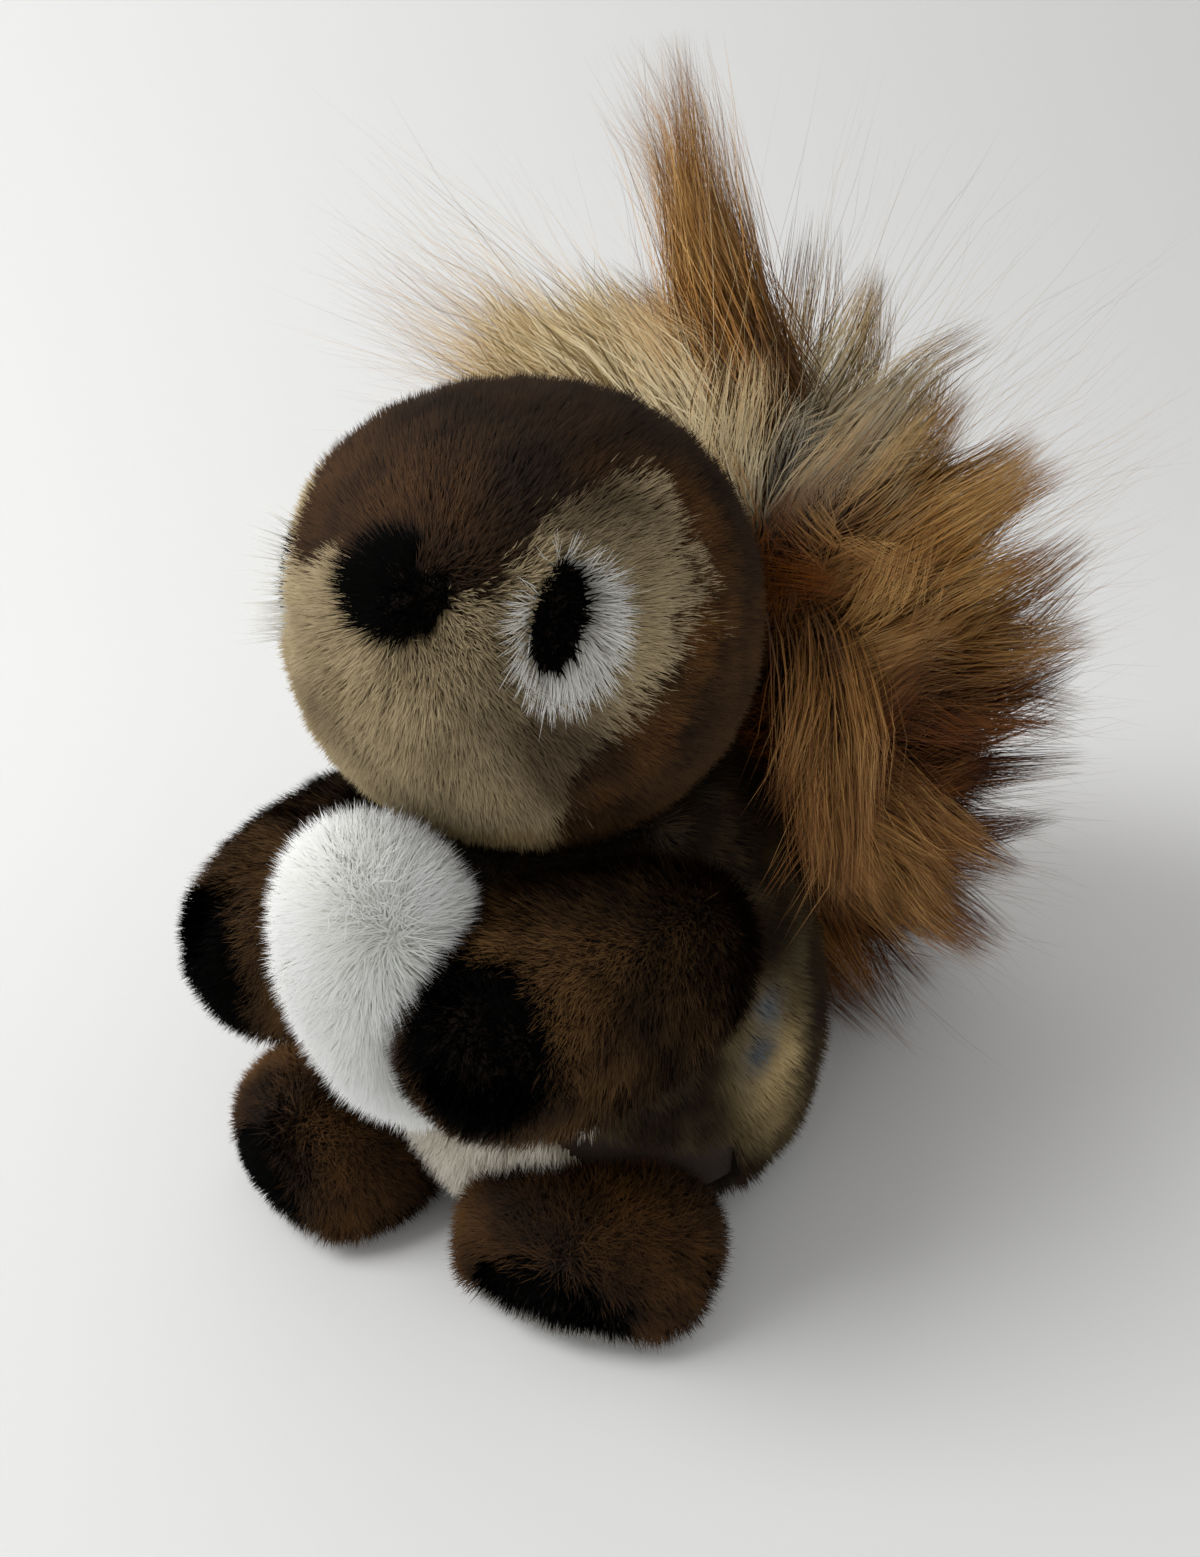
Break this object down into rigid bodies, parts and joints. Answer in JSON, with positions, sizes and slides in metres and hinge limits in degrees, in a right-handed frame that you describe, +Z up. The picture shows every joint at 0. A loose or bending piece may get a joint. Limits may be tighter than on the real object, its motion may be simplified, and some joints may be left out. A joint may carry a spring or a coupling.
{
  "type": "plush chipmunk",
  "caption": "Sitting stuffed chipmunk sewn from short fur in panels, with black nose, eyes and pads, a puffy pale chest and a bushy long-haired tail.",
  "frame": {"origin": "middle of the flat seat panel, on the floor", "axes": "+Z up; the chipmunk faces -Y and its left side is at +X"},
  "size_m": [0.1838, 0.2384, 0.2485],
  "materials": {
    "crown_fur": "short dense sheared fur, matt",
    "cheek_fur": "short dense sheared fur, matt",
    "face_fur": "short dense sheared fur, matt",
    "chin_fur": "short dense sheared fur, matt",
    "nose_fur": "short dense sheared fur, matt",
    "eye_ring_fur": "short dense sheared fur, matt",
    "eye_fur": "short dense sheared fur, matt",
    "back_fur": "short dense sheared fur, matt",
    "belly_fur": "short dense sheared fur, matt",
    "seat_fur": "short dense sheared fur, matt",
    "chest_fur": "dense plush pile, white",
    "arm_fur": "short dense sheared fur, matt",
    "pad_fur": "short dense sheared fur, matt",
    "foot_fur": "short dense sheared fur, matt",
    "sole_fur": "short dense sheared fur, matt",
    "tail_fur": "long soft hair with dark tips",
    "filling": "loose polyester fibre"
  },
  "bodies": {
    "root": {"arm_filling_left": "filling", "arm_filling_right": "filling", "arm_sleeve_left": "arm_fur", "arm_sleeve_right": "arm_fur", "back_panel_left": "back_fur", "back_panel_right": "back_fur", "belly_panel": "belly_fur", "body_filling": "filling", "cheek_panel_left": "cheek_fur", "cheek_panel_right": "cheek_fur", "chest_cover": "chest_fur", "chest_filling": "filling", "chin_panel": "chin_fur", "crown_panel": "crown_fur", "eye_left": "eye_fur", "eye_right": "eye_fur", "eye_ring_left": "eye_ring_fur", "eye_ring_right": "eye_ring_fur", "face_panel_left": "face_fur", "face_panel_right": "face_fur", "foot_filling_left": "filling", "foot_filling_right": "filling", "foot_pad_left": "pad_fur", "foot_pad_right": "pad_fur", "foot_sleeve_left": "foot_fur", "foot_sleeve_right": "foot_fur", "foot_sole_left": "sole_fur", "foot_sole_right": "sole_fur", "head_filling": "filling", "nose_patch": "nose_fur", "paw_pad_left": "pad_fur", "paw_pad_right": "pad_fur", "seat_panel": "seat_fur", "tail": "tail_fur"}
  },
  "joints": []
}
